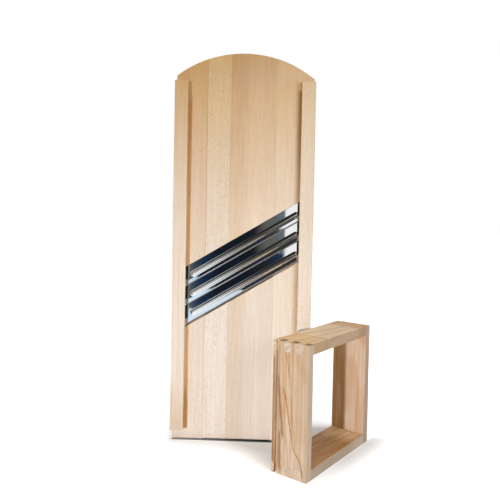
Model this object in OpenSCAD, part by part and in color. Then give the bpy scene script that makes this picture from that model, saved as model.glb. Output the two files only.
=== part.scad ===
// Cabbage cutter: a board of glued staves with two grooved rails, three slanted
// blades set in a window, and a finger-jointed box that runs in the rails.
// The board stands upright and the box stands beside its foot, off its rails.
// X runs to the right, Y from the front to the back and Z up the board.
// The origin is the middle of the board's foot.

/* [Board] */
// Width of the board across its staves
board_w = 217; // [180:1:280]
// Height of the board to the top of its crown
board_h = 615; // [520:1:720]
// Thickness of the board
board_t = 18; // [16:0.5:28]
// Radius of the crown's arc
crown_r = 175; // [150:1:260]
// How far the crown's middle lies left of the board's middle
crown_shift = 2.5; // [0:0.5:8]
// Width of the stave at the left edge
left_stave_w = 49.5; // [36:0.5:60]
// Width of the narrow stave beside it
narrow_stave_w = 37; // [24:0.5:44]
// Width of the wide stave
wide_stave_w = 71.5; // [50:0.5:78]

/* [Rails] */
// Width of a rail across the board
rail_w = 21.5; // [19:0.5:26]
// Height of a rail above the board's face
rail_h = 13; // [12:0.5:18]
// How far a rail stands out past the board's side
rail_overhang = 1.5; // [0:0.25:3]
// Height of a rail's lower end above the foot
rail_foot = 17.5; // [8:0.5:40]
// Distance of a rail's upper end below the crown's top
rail_top_gap = 45.5; // [44:0.5:80]
// Thickness of the lip over the groove
lip_t = 3.6; // [3:0.1:4.5]
// How far the lip reaches over the groove
lip_reach = 4.8; // [4.2:0.1:6]
// Length of solid rail left above the groove as a stop
stop_l = 12; // [6:0.5:30]
// Rounding of a rail's front edges
rail_round = 1.4; // [0.5:0.1:3]

/* [Blades] */
// Slant of the blades, rising to the right
blade_angle = 31; // [15:1:35]
// Distance between neighbouring cutting edges, across the blades
blade_pitch = 26.7; // [25.5:0.1:30]
// Height of the lowest cutting edge at the board's middle
cut_h = 237; // [200:1:280]
// Thickness of the blade steel
blade_t = 1; // [0.8:0.1:1.2]
// How far a blade's back tucks under what lies above it
tuck = 1.4; // [0.6:0.1:2]
// Tilt of a blade that lifts its cutting edge
blade_tilt = 6.5; // [5:0.5:8]
// How far a cutting edge stands out of the board's face
cut_rise = 1.3; // [0.8:0.1:1.8]
// Width of the ground bevel on the front of a cutting edge
bevel_w = 1.6; // [0.8:0.1:2.4]
// Width of the ground bevel on the back of a cutting edge
back_bevel_w = 1; // [0.6:0.1:2]
// Gap in front of the lowest cutting edge
mouth = 2.8; // [2:0.1:4]
// Distance of the stamped bead from the cutting edge
bead_from_edge = 11; // [9:0.5:13]
// Radius of the bead's round back
bead_r = 4.8; // [4:0.1:5.5]
// How far the bead rises out of the blade
bead_rise = 2.2; // [1.2:0.1:2.4]
// Plain length of blade between the bead's end and the window's side
bead_margin = 9; // [7:0.5:20]
// Depth of the tab bent down at each end of a blade
tab_depth = 10; // [9:0.5:12]

/* [Screws] */
// Depth of the blade screws behind the board's face
blade_screw_depth = 6.2; // [5.5:0.1:7]
// Radius of a blade screw's shank
blade_screw_r = 1.4; // [1:0.1:1.6]
// Length of a blade screw under its head
blade_screw_l = 9; // [6:0.5:10]
// Radius of a blade screw's head
blade_head_r = 2.6; // [2.2:0.1:3]
// Height of a blade screw's head
blade_head_h = 1.5; // [1:0.1:2]
// Radius of a rail screw's shank
rail_screw_r = 1.7; // [1.4:0.1:2]
// Radius of a rail screw's sunk head
rail_head_r = 3.4; // [2.8:0.1:4]
// How far a rail screw bites into its rail
rail_bite = 8; // [5:0.5:9]
// Distance of an outer rail screw from the rail's end
rail_screw_end = 28; // [20:1:60]
// Distance of an inner rail screw from the window's corner
rail_screw_window = 35; // [25:1:60]

/* [Box] */
// Length of the box along the rails
box_l = 188; // [150:1:230]
// Height of the box from rim to rim
box_h = 58; // [52:0.5:80]
// Thickness of the walls that run in the rails
side_t = 12.5; // [11:0.5:16]
// Thickness of the end walls
end_t = 14.5; // [11:0.5:20]
// Width of a side wall's finger
side_finger_w = 9; // [8:0.5:12]
// Width of an end wall's finger
end_finger_w = 11; // [8:0.5:12]
// Height of the tongue that runs under the lip
tongue_h = 4.6; // [4:0.1:5]
// Open slit left behind each side wall finger
finger_slit = 0.9; // [0.4:0.1:1.2]
// How far right of the right rail's inner edge the standing box's nearest corner is
box_from_rail = 9.9; // [8:0.1:40]
// Distance of that corner in front of the board's middle
box_y = 147.3; // [147:0.1:220]
// How far the standing box is turned
box_turn = 54.3; // [45:0.1:55]

/* [Clearances] */
// Play between the tongues and the backs of the grooves
side_play = 0.8; // [0.5:0.1:1.2]
// Play of the lip in the box's groove
lip_play = 0.6; // [0.3:0.1:1]
// Play between a blade and the wood around it
blade_play = 0.2; // [0.1:0.05:0.3]
// Play of a screw in its hole
screw_play = 0.05; // [0.02:0.01:0.1]

/* [Hidden] */
$fn = 64;
// Overshoot of a cut past the face it opens
cut = 0.5;
blades = 3;
face_y = -board_t / 2;
rail_half = board_w / 2 + rail_overhang;
rail_inner = rail_half - rail_w;
groove_h = rail_h - lip_t;
groove_back = rail_inner + lip_reach;
rail_top = board_h - rail_top_gap;
rail_l = rail_top - rail_foot;

// Places of the stave joints from the left edge to the right one
left_joint = left_stave_w - board_w / 2;
middle_joint = left_joint + narrow_stave_w;
right_joint = middle_joint + wide_stave_w;

// The window reaches to the backs of the rails' grooves
window_half = groove_back;
blade_half = window_half - blade_play;
rise = tan(blade_angle);
pitch_h = blade_pitch / cos(blade_angle);
window_low = cut_h - mouth / cos(blade_angle);
window_high = cut_h + blades * pitch_h;
blade_w = (blade_pitch + tuck) / cos(blade_tilt);
blade_reach = board_w / cos(blade_angle);
bead_half = (window_half - bead_margin) / cos(blade_angle) - bead_r;
tab_margin = tuck + bevel_w;
tab_w = blade_w - 2 * tab_margin;
tab_screws = [tab_margin + tab_w / 4, tab_margin + tab_w * 3 / 4];

rail_screw_x = (groove_back + board_w / 2) / 2;
rail_screw_l = board_t + rail_bite;
sunk_h = rail_head_r - rail_screw_r;

box_w = 2 * (groove_back - side_play);
lip_groove_w = lip_t + lip_play;
lip_groove_d = lip_reach - side_play + lip_play;
finger_pitch = side_finger_w + end_finger_w;
finger_count = ceil(box_h / finger_pitch);

beech = [0.87, 0.75, 0.60];
beech_pale = [0.91, 0.81, 0.69];
beech_warm = [0.80, 0.66, 0.50];
steel = [0.72, 0.75, 0.80];
zinc = [0.62, 0.62, 0.60];

// Height of a slanted line at a place across the board
function slanted(height, x) = height + x * rise;

// Heights of a rail's screws, clear of the window's corners on that side
function rail_screw_heights(side) = [
    rail_foot + rail_screw_end,
    slanted(window_low, side * window_half) - rail_screw_window,
    slanted(window_high, side * window_half) + rail_screw_window,
    rail_top - rail_screw_end
];

// Stands a flat drawing of X and Z upright, with its thickness about Y = 0
module upright(thickness) {
    rotate([90, 0, 0])
        linear_extrude(height = thickness, center = true)
            children();
}

// A slab across the board that ends blades and cuts at the window's sides
module across(half) {
    translate([-half, -board_t * 2, 0])
        cube([2 * half, board_t * 4, board_h]);
}

// Outline of the whole board with its arched crown
module board_outline() {
    intersection() {
        translate([-board_w / 2, 0])
            square([board_w, board_h]);
        union() {
            translate([-crown_shift, board_h - crown_r])
                circle(r = crown_r, $fn = 180);
            translate([-board_w / 2, 0])
                square([board_w, board_h - crown_r]);
        }
    }
}

// Outline of the slanted window between a lower and an upper line
module window_outline(low, high) {
    polygon([
        [-window_half, slanted(low, -window_half)],
        [window_half, slanted(low, window_half)],
        [window_half, slanted(high, window_half)],
        [-window_half, slanted(high, -window_half)]
    ]);
}

// Places its children at a blade's cutting edge, turned and tilted with the blade
module at_blade(index) {
    translate([0, face_y - cut_rise, cut_h + index * pitch_h])
        rotate([0, -blade_angle, 0])
            rotate([-blade_tilt, 0, 0])
                children();
}

// Places its children at each blade screw, with Z pointing into the wood
module at_blade_screws(index) {
    for (side = [-1, 1], along = tab_screws) {
        edge = slanted(cut_h + index * pitch_h, side * blade_half);
        translate([side * blade_half, face_y + blade_screw_depth, edge + along / cos(blade_angle)])
            rotate([0, side * 90, 0])
                children();
    }
}

// Places its children at each screw of a rail, with Z pointing to the front
module at_rail_screws(side) {
    for (height = rail_screw_heights(side))
        translate([side * rail_screw_x, board_t / 2, height])
            rotate([90, 0, 0])
                children();
}

// A flat-headed screw that fills its countersink
module sunk_screw(play, length) {
    cylinder(r = rail_screw_r + play, h = length);
    cylinder(r1 = rail_head_r, r2 = rail_screw_r, h = sunk_h);
}

// The saw kerf that holds the upper blade's back
module back_kerf() {
    intersection() {
        at_blade(blades - 1)
            translate([-blade_reach, -blade_play, blade_w / 2])
                cube([2 * blade_reach, blade_t + 2 * blade_play, blade_w / 2 + blade_play]);
        across(window_half);
    }
}

// One stave of the board, with its part of the window, kerf and screw holes cut
module stave(from, to) {
    difference() {
        intersection() {
            upright(board_t)
                board_outline();
            translate([from, -board_t, 0])
                cube([to - from, 2 * board_t, board_h]);
        }
        upright(2 * board_t)
            window_outline(window_low, window_high);
        back_kerf();
        for (index = [0 : blades - 1])
            at_blade_screws(index)
                cylinder(r = blade_screw_r + screw_play, h = blade_screw_l);
        for (side = [-1, 1])
            at_rail_screws(side) {
                translate([0, 0, -cut])
                    cylinder(r = rail_head_r, h = cut);
                sunk_screw(screw_play, rail_screw_l);
            }
    }
}

// The part of a middle stave above the window
module stave_above(from, to) {
    intersection() {
        stave(from, to);
        upright(2 * board_t)
            window_outline(window_high - tuck, board_h * 2);
    }
}

// The part of a middle stave below the window
module stave_below(from, to) {
    intersection() {
        stave(from, to);
        upright(2 * board_t)
            window_outline(-board_h, window_low + tuck);
    }
}

// Cross-section of a rail from its inner edge outwards, with rounded front edges
module rail_profile() {
    square([rail_w, rail_h - rail_round]);
    translate([rail_round, 0])
        square([rail_w - 2 * rail_round, rail_h]);
    for (x = [rail_round, rail_w - rail_round])
        translate([x, rail_h - rail_round])
            circle(r = rail_round);
}

// A rail whose groove runs out at the foot and stops short of the top
module rail(side) {
    difference() {
        mirror([side < 0 ? 1 : 0, 0, 0])
            translate([rail_inner, face_y, rail_foot])
                mirror([0, 1, 0])
                    difference() {
                        linear_extrude(height = rail_l)
                            rail_profile();
                        translate([-cut, -cut, -cut])
                            cube([lip_reach + cut, groove_h + cut, rail_l - stop_l + cut]);
                    }
        at_rail_screws(side)
            cylinder(r = rail_screw_r + screw_play, h = rail_screw_l);
    }
}

// The screws that hold a rail, driven from the board's back
module rail_screws(side) {
    color(zinc)
        at_rail_screws(side)
            sunk_screw(0, rail_screw_l);
}

// Cross-section of a blade: Y into the board, Z up from the ground edge
module blade_profile() {
    polygon([
        [blade_t / 2, 0],
        [blade_t, back_bevel_w],
        [blade_t, blade_w],
        [0, blade_w],
        [0, bevel_w]
    ]);
}

// A round bar with ball ends along the bead's middle line, halfway between the window's sides
module bead_bar(radius) {
    translate([bead_from_edge * rise, bead_r - bead_rise, bead_from_edge]) {
        rotate([0, 90, 0])
            cylinder(r = radius, h = 2 * bead_half, center = true);
        for (side = [-1, 1])
            translate([side * bead_half, 0, 0])
                sphere(r = radius);
    }
}

// The raised half of the bead, down to the blade's front face
module bead_crown() {
    intersection() {
        bead_bar(bead_r);
        translate([-blade_reach, -bead_r, 0])
            cube([2 * blade_reach, bead_r + blade_t / 2, blade_w]);
    }
}

// A stamped blade with its hollow bead, ground edge and bent-down end tabs
module blade(index) {
    color(steel)
        difference() {
            intersection() {
                union() {
                    at_blade(index) {
                        rotate([90, 0, 90])
                            linear_extrude(height = 2 * blade_reach, center = true)
                                blade_profile();
                        bead_crown();
                    }
                    difference() {
                        at_blade(index)
                            translate([-blade_reach, blade_t / 2, tab_margin])
                                cube([2 * blade_reach, tab_depth - blade_t / 2, tab_w]);
                        across(blade_half - blade_t);
                    }
                }
                across(blade_half);
            }
            at_blade(index)
                bead_bar(bead_r - blade_t);
            at_blade_screws(index)
                translate([0, 0, -2 * blade_t])
                    cylinder(r = blade_screw_r + screw_play, h = 3 * blade_t);
        }
}

// The round-headed screws that hold a blade's tabs to the window's sides
module blade_screws(index) {
    color(zinc)
        at_blade_screws(index) {
            translate([0, 0, -blade_t])
                cylinder(r = blade_screw_r, h = blade_t + blade_screw_l);
            translate([0, 0, -blade_t - blade_head_h])
                cylinder(r = blade_head_r, h = blade_head_h);
        }
}

// Stands the box on the floor: X across its rails, Y from the free rim to the tongue rim
module at_box() {
    translate([rail_inner + box_from_rail, -box_y, 0])
        rotate([0, 0, box_turn])
            children();
}

// The groove behind the tongue, cut from a wall's outer face at X = 0
module tongue_groove() {
    translate([-cut, box_h - tongue_h - lip_groove_w, -cut])
        cube([lip_groove_d + cut, lip_groove_w, box_l + 2 * cut]);
}

// A side wall with sockets for the end walls' fingers and its tongue
module box_side() {
    difference() {
        cube([side_t, box_h, box_l]);
        for (finger = [0 : finger_count - 1], z = [-cut, box_l - end_t])
            translate([-cut, finger * finger_pitch + side_finger_w, z])
                cube([side_t + 2 * cut, end_finger_w, end_t + cut]);
        tongue_groove();
    }
}

// An end wall with sockets for the side walls' fingers, standing at a height
module box_end(height) {
    color(beech_warm)
        at_box()
            difference() {
                translate([0, 0, height])
                    cube([box_w, box_h, end_t]);
                for (end = [0, 1])
                    translate([end * box_w, 0, 0])
                        mirror([end, 0, 0]) {
                            tongue_groove();
                            for (finger = [0 : finger_count - 1])
                                translate([-cut, finger * finger_pitch, height - cut])
                                    cube([side_t + finger_slit + cut, side_finger_w, end_t + 2 * cut]);
                        }
            }
}

module left_edge_stave() {
    color(beech)
        stave(-board_w / 2, left_joint);
}

module upper_narrow_stave() {
    color(beech_pale)
        stave_above(left_joint, middle_joint);
}

module lower_narrow_stave() {
    color(beech_pale)
        stave_below(left_joint, middle_joint);
}

module upper_wide_stave() {
    color(beech)
        stave_above(middle_joint, right_joint);
}

module lower_wide_stave() {
    color(beech)
        stave_below(middle_joint, right_joint);
}

module right_edge_stave() {
    color(beech_pale)
        stave(right_joint, board_w / 2);
}

module left_rail() {
    color(beech_pale)
        rail(-1);
}

module right_rail() {
    color(beech_pale)
        rail(1);
}

module left_rail_screws() {
    rail_screws(-1);
}

module right_rail_screws() {
    rail_screws(1);
}

module upper_blade() {
    blade(2);
}

module middle_blade() {
    blade(1);
}

module lower_blade() {
    blade(0);
}

module upper_blade_screws() {
    blade_screws(2);
}

module middle_blade_screws() {
    blade_screws(1);
}

module lower_blade_screws() {
    blade_screws(0);
}

module box_left_side() {
    color(beech_warm)
        at_box()
            box_side();
}

module box_right_side() {
    color(beech_warm)
        at_box()
            translate([box_w, 0, 0])
                mirror([1, 0, 0])
                    box_side();
}

module box_upper_end() {
    box_end(box_l - end_t);
}

module box_lower_end() {
    box_end(0);
}

left_edge_stave();
upper_narrow_stave();
lower_narrow_stave();
upper_wide_stave();
lower_wide_stave();
right_edge_stave();
left_rail();
right_rail();
left_rail_screws();
right_rail_screws();
upper_blade();
middle_blade();
lower_blade();
upper_blade_screws();
middle_blade_screws();
lower_blade_screws();
box_left_side();
box_right_side();
box_upper_end();
box_lower_end();
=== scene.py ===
"""Cabbage cutter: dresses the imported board, rails, blades, screws and box, and sets a plain studio around them."""
import logging
import math
from dataclasses import dataclass, replace
from enum import Enum
from functools import reduce
from typing import Callable, Iterable, Sequence

import bmesh
import bpy
from bmesh.types import BMEdge, BMesh
from bpy.types import Material, Node, NodeSocket, NodeTree
from mathutils import Matrix, Vector


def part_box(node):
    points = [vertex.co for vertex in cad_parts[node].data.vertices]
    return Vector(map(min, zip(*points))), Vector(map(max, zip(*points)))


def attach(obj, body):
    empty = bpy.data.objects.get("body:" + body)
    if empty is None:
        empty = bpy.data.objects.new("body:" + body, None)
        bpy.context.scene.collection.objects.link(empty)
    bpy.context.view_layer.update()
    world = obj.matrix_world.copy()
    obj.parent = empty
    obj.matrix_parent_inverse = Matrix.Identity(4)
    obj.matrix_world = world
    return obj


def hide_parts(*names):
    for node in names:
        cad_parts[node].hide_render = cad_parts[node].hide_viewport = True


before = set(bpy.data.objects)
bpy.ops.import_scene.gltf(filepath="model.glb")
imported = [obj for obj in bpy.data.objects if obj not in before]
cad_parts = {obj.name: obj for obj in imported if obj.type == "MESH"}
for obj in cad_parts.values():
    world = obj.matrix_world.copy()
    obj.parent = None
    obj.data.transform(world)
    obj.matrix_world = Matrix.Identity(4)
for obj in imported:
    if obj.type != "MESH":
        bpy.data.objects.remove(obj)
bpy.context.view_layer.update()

logging.basicConfig(level=logging.INFO, format="%(name)s: %(message)s")
LOG = logging.getLogger("cabbage_cutter")

Colour = tuple[float, float, float]
Point = tuple[float, float, float]
Span = tuple[float, float]
MM = 0.001
MERGE_DISTANCE = 1e-6
FLAT_WITHIN = math.radians(0.4)
EASED_FROM = math.radians(35)
END_GRAIN_FROM = 0.8
NOISE_MIDDLE = 0.5


class Fibre(Enum):
    """Which way the fibres of a wooden piece run."""

    UP = "up the board"
    ACROSS = "across the box"


class Plug(Enum):
    """Kinds of sockets on a node group."""

    VECTOR = "NodeSocketVector"
    COLOUR = "NodeSocketColor"
    NUMBER = "NodeSocketFloat"


class NodeSheet:
    """A short way to add and wire nodes in one tree."""

    def __init__(self, tree: NodeTree) -> None:
        """Keeps the tree that is written on."""
        self.tree = tree

    def add(self, kind: str, **settings: object) -> Node:
        """Adds one node.

        Args:
            kind: the node's type name.
            settings: properties that are set on it.

        Returns:
            The new node.
        """
        node = self.tree.nodes.new(kind)
        for name, value in settings.items():
            setattr(node, name, value)
        return node

    def put(self, socket: NodeSocket, value: object) -> None:
        """Wires or sets one input.

        Args:
            socket: the input.
            value: an output socket to wire, or a value to set.
        """
        if isinstance(value, NodeSocket):
            self.tree.links.new(value, socket)
        elif isinstance(value, (tuple, list, Vector)) and len(socket.default_value) == 4:
            socket.default_value = (*value[:3], 1.0)
        else:
            socket.default_value = value

    def fill(self, node: Node, values: dict[int | str, object]) -> Node:
        """Wires or sets a node's inputs, by number or name.

        Args:
            node: the node.
            values: what goes into each.

        Returns:
            The node.
        """
        for label, value in values.items():
            self.put(node.inputs[label], value)
        return node

    def made(self, kind: str, values: dict[int | str, object], output: int | str = 0, **settings: object) -> NodeSocket:
        """Adds a node with its settings, fills its inputs and gives one of its outputs."""
        return self.fill(self.add(kind, **settings), values).outputs[output]

    def show(self, shader: NodeSocket, kind: str = "ShaderNodeOutputMaterial") -> None:
        """Wires a shader to a new output node."""
        self.fill(self.add(kind), {"Surface": shader})

    def spot(self) -> NodeSocket:
        """Object coordinates."""
        return self.made("ShaderNodeTexCoord", {}, "Object")

    def split(self, vector: object) -> tuple[NodeSocket, ...]:
        """The X, Y and Z outputs of a vector."""
        return tuple(self.fill(self.add("ShaderNodeSeparateXYZ"), {0: vector}).outputs)

    def math(self, operation: str, a: object, b: object = 0.0, clamp: bool = False) -> NodeSocket:
        """One operation on two values, kept from 0 to 1 where clamp is on."""
        return self.made("ShaderNodeMath", {0: a, 1: b}, operation=operation, use_clamp=clamp)

    def times(self, first: object, *others: object) -> NodeSocket:
        """Multiplies values one after the other."""
        return reduce(lambda product, other: self.math("MULTIPLY", product, other), others, first)

    def apart(self, a: object, b: object) -> NodeSocket:
        """The distance between two values."""
        return self.math("ABSOLUTE", self.math("SUBTRACT", a, b))

    def ranged(self, value: object, low: float, high: float, to_low: object = 0.0, to_high: float = 1.0,
               smooth: bool = True) -> NodeSocket:
        """Takes low to to_low and high to to_high, with both ends eased where smooth is on."""
        return self.made("ShaderNodeMapRange", {0: value, 1: low, 2: high, 3: to_low, 4: to_high},
                         interpolation_type="SMOOTHSTEP" if smooth else "LINEAR")

    def mix(self, factor: object, a: object, b: object, blend: str = "MIX") -> NodeSocket:
        """Goes from one colour to another by a factor: a Mix node's inputs 6 and 7 and its output 2."""
        return self.made("ShaderNodeMix", {0: factor, 6: a, 7: b}, 2, data_type="RGBA", blend_type=blend)

    def tinted(self, factor: object, colour: object, tint: Colour, ground: object = None) -> NodeSocket:
        """Goes by a factor from a colour to a tinted one, which is made from the ground where that is given."""
        return self.mix(factor, colour, self.mix(1.0, colour if ground is None else ground, tint, "MULTIPLY"))

    def mapped(self, vector: object, location: Sequence[float] = (0, 0, 0), rotation: Sequence[float] = (0, 0, 0),
               scale: Sequence[float] = (1, 1, 1)) -> NodeSocket:
        """Coordinates that are stretched, turned and then shifted."""
        return self.made("ShaderNodeMapping", {0: vector, 1: location, 2: rotation, 3: scale})

    def noise(self, vector: object, scale: float | Point, detail: float = 2.0, rough: float = 0.5) -> NodeSocket:
        """Adds a Noise Texture node.

        Args:
            vector: the coordinates.
            scale: its scale, or one for each axis.
            detail: its octaves.
            rough: weight of the finer octaves.

        Returns:
            Its value output.
        """
        if isinstance(scale, tuple):
            vector, scale = self.mapped(vector, scale=scale), 1.0
        return self.made("ShaderNodeTexNoise", {"Vector": vector, "Scale": scale, "Detail": detail, "Roughness": rough})

    def bump(self, height: object, strength: float, distance: float) -> NodeSocket:
        """Normals of a height map whose full range is a distance in metres."""
        return self.made("ShaderNodeBump", {"Strength": strength, "Distance": distance, "Height": height})


@dataclass(frozen=True)
class BoxPlace:
    """Where the standing box is, in metres and degrees."""

    corner: Span = (0.0984, -0.1473)
    turn: float = 54.3
    length: float = 0.185
    depth: float = 0.058

    def along(self) -> Vector:
        """Direction across the box's rails, from its left wall to its right wall."""
        return Vector((math.cos(math.radians(self.turn)), math.sin(math.radians(self.turn)), 0.0))

    def footprint(self) -> tuple[Span, Span]:
        """Middle and half sides of the floor under the box, in its own axes."""
        return (self.length / 2, self.depth / 2), (self.length / 2, self.depth / 2)

    def own_axes(self, sheet: NodeSheet) -> NodeSocket:
        """Coordinates in the box's own axes: X across its rails, Y from the free rim inwards and Z up.

        Args:
            sheet: the sheet that is written on.

        Returns:
            The coordinates' socket.
        """
        turn = Matrix.Rotation(-math.radians(self.turn), 3, "Z")
        shift = turn @ Vector((*self.corner, 0.0))
        return sheet.mapped(sheet.spot(), location=-shift, rotation=(0, 0, -math.radians(self.turn)))


BOX_PLACE = BoxPlace()
GRAIN_OUTPUTS = {"Colour": Plug.COLOUR, "Roughness": Plug.NUMBER, "Height": Plug.NUMBER}


class SharedEffect:
    """A node group that more than one finish may use, built once."""

    name: str
    inputs: dict[str, Plug]
    outputs: dict[str, Plug]

    def write(self, sheet: NodeSheet, given: Node, result: Node) -> None:
        """Adds the nodes between the group's inputs and outputs."""
        raise NotImplementedError

    def tree(self) -> NodeTree:
        """The group, built when it is first asked for.

        Returns:
            The group.
        """
        tree = bpy.data.node_groups.get(self.name)
        if tree is None:
            tree = bpy.data.node_groups.new(self.name, "ShaderNodeTree")
            for way, plugs in (("INPUT", self.inputs), ("OUTPUT", self.outputs)):
                for label, plug in plugs.items():
                    tree.interface.new_socket(name=label, in_out=way, socket_type=plug.value)
            sheet = NodeSheet(tree)
            self.write(sheet, sheet.add("NodeGroupInput"), sheet.add("NodeGroupOutput"))
        return tree

    def place(self, sheet: NodeSheet, **values: object) -> Node:
        """Places the group in a material, with its inputs by name."""
        return sheet.fill(sheet.add("ShaderNodeGroup", node_tree=self.tree()), values)


@dataclass(frozen=True)
class BeechGrain(SharedEffect):
    """Long-grain beech: fibres along Z, tone bands, rings and short brown ray flecks; scales are per metre."""

    sway: Point = (14, 14, 5)
    sway_width: float = 0.006
    fibre: Point = (1100, 1100, 14)
    fibre_from: Span = (0.42, 0.72)
    streak: Point = (300, 300, 4.5)
    streak_from: Span = (0.38, 0.72)
    band: Point = (70, 70, 1.6)
    band_from: Span = (0.3, 0.75)
    fleck: Point = (780, 780, 165)
    fleck_from: Span = (0.42, 0.14)
    crowd: Point = (60, 60, 9)
    crowd_from: Span = (0.3, 0.66)
    crowd_share: Span = (0.1, 0.85)
    ring: Point = (1.0, 1.0, 0.16)
    ring_from: Span = (0.45, 0.95)
    band_tint: Colour = (0.86, 0.78, 0.70)
    streak_tint: Colour = (0.84, 0.70, 0.56)
    line_tint: Colour = (0.80, 0.68, 0.55)
    ring_tint: Colour = (0.84, 0.68, 0.50)
    fleck_tint: Colour = (0.80, 0.62, 0.42)
    fleck_depth: float = 0.5
    rough_from: Span = (0.3, 0.7)
    rough: Span = (0.44, 0.62)
    name = "beech_grain"
    inputs = {"Place": Plug.VECTOR, "Pale": Plug.COLOUR, "Honey": Plug.COLOUR,
              **dict.fromkeys(("Ripe", "Lines", "Streaks", "Bands", "Flecks", "Rings"), Plug.NUMBER)}
    outputs = GRAIN_OUTPUTS

    def bent(self, sheet: NodeSheet, place: NodeSocket) -> NodeSocket:
        """Coordinates that sway a little from side to side up the fibres.

        Args:
            sheet: the group's sheet.
            place: the coordinates.

        Returns:
            The swaying coordinates.
        """
        sway = sheet.noise(place, self.sway, detail=1.0)
        sideways = sheet.made("ShaderNodeCombineXYZ", {0: sway, 1: sway})
        drift = sheet.made("ShaderNodeVectorMath", {0: sideways, "Scale": self.sway_width}, operation="SCALE")
        return sheet.made("ShaderNodeVectorMath", {0: place, 1: drift}, operation="ADD")

    def flecks(self, sheet: NodeSheet, place: NodeSocket) -> NodeSocket:
        """A mask of short dashes that crowd in some places.

        Args:
            sheet: the group's sheet.
            place: the coordinates.

        Returns:
            The mask.
        """
        cells = sheet.add("ShaderNodeTexVoronoi")
        sheet.fill(cells, {"Vector": sheet.mapped(place, scale=self.fleck), "Scale": 1.0})
        chance = sheet.made("ShaderNodeSeparateColor", {0: cells.outputs["Color"]})
        crowd = sheet.ranged(sheet.noise(place, self.crowd), *self.crowd_from, *self.crowd_share)
        dashes = sheet.ranged(cells.outputs["Distance"], *self.fleck_from)
        return sheet.times(dashes, sheet.math("LESS_THAN", chance, crowd))

    def rings(self, sheet: NodeSheet, place: NodeSocket) -> NodeSocket:
        """A mask of slanted year rings.

        Args:
            sheet: the group's sheet.
            place: the coordinates.

        Returns:
            The mask.
        """
        swing = {"Scale": 36.0, "Distortion": 9.0, "Detail": 2.0, "Detail Scale": 0.5}
        waves = sheet.made("ShaderNodeTexWave", {"Vector": sheet.mapped(place, scale=self.ring), **swing}, "Fac",
                           bands_direction="DIAGONAL")
        return sheet.ranged(waves, *self.ring_from)

    def write(self, sheet: NodeSheet, given: Node, result: Node) -> None:
        """Adds the grain's nodes.

        Args:
            sheet: the group's sheet.
            given: the node with its inputs.
            result: the node that takes its outputs.
        """
        asked = given.outputs
        bent = self.bent(sheet, asked["Place"])
        fibre = sheet.noise(bent, self.fibre, detail=3.0, rough=0.65)
        streaks = sheet.ranged(sheet.noise(bent, self.streak), *self.streak_from)
        bands = sheet.ranged(sheet.noise(bent, self.band), *self.band_from)
        fleck = sheet.times(self.flecks(sheet, asked["Place"]), asked["Flecks"])
        base = sheet.mix(asked["Ripe"], asked["Pale"], asked["Honey"])
        colour = sheet.tinted(sheet.times(bands, asked["Bands"]), base, self.band_tint)
        colour = sheet.tinted(sheet.times(streaks, asked["Streaks"]), colour, self.streak_tint, base)
        lines = sheet.times(sheet.ranged(fibre, *self.fibre_from), asked["Lines"])
        colour = sheet.tinted(lines, colour, self.line_tint, base)
        colour = sheet.tinted(sheet.times(self.rings(sheet, bent), asked["Rings"]), colour, self.ring_tint)
        sheet.fill(result, {"Colour": sheet.tinted(fleck, colour, self.fleck_tint, base),
                            "Roughness": sheet.ranged(fibre, *self.rough_from, *self.rough),
                            "Height": sheet.math("SUBTRACT", fibre, sheet.times(fleck, self.fleck_depth))})


@dataclass(frozen=True)
class EndGrain(SharedEffect):
    """Sawn end grain: small pores and slanted light and dark rays, with the fibres along Z; scales are per metre."""

    slant: float = math.radians(38)
    squeeze: Point = (1, 1, 0.2)
    ray: Point = (560, 75, 200)
    ray_from: Span = (0.44, 0.58)
    ray_share: float = 0.75
    ray_height: float = 0.6
    ring: Point = (90, 420, 60)
    ring_from: Span = (0.35, 0.7)
    ring_share: Span = (0.0, 0.5)
    pore: float = 1500
    rough_from: Span = (0.3, 0.7)
    rough: Span = (0.62, 0.8)
    name = "beech_end_grain"
    inputs = {"Place": Plug.VECTOR, "Pale": Plug.COLOUR, "Dark": Plug.COLOUR}
    outputs = GRAIN_OUTPUTS

    def write(self, sheet: NodeSheet, given: Node, result: Node) -> None:
        """Adds the end grain's nodes.

        Args:
            sheet: the group's sheet.
            given: the node with its inputs.
            result: the node that takes its outputs.
        """
        place, pale, dark = (given.outputs[label] for label in self.inputs)
        turned = sheet.mapped(place, rotation=(0, 0, self.slant), scale=self.squeeze)
        rays = sheet.noise(turned, self.ray, rough=0.6)
        rings = sheet.noise(turned, self.ring, detail=1.0)
        pores = sheet.noise(place, self.pore, detail=1.0)
        ringed = sheet.mix(sheet.ranged(rings, *self.ring_from, *self.ring_share), pale, dark)
        rayed = sheet.mix(sheet.times(sheet.ranged(rays, *self.ray_from), self.ray_share), ringed, dark)
        sheet.fill(result, {"Colour": rayed, "Roughness": sheet.ranged(pores, *self.rough_from, *self.rough),
                            "Height": sheet.math("ADD", sheet.times(rays, self.ray_height), pores)})


class HeartTone(Enum):
    """The two tones of the heartwood figure."""

    BROWN = "Brown"
    ORANGE = "Orange"


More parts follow.
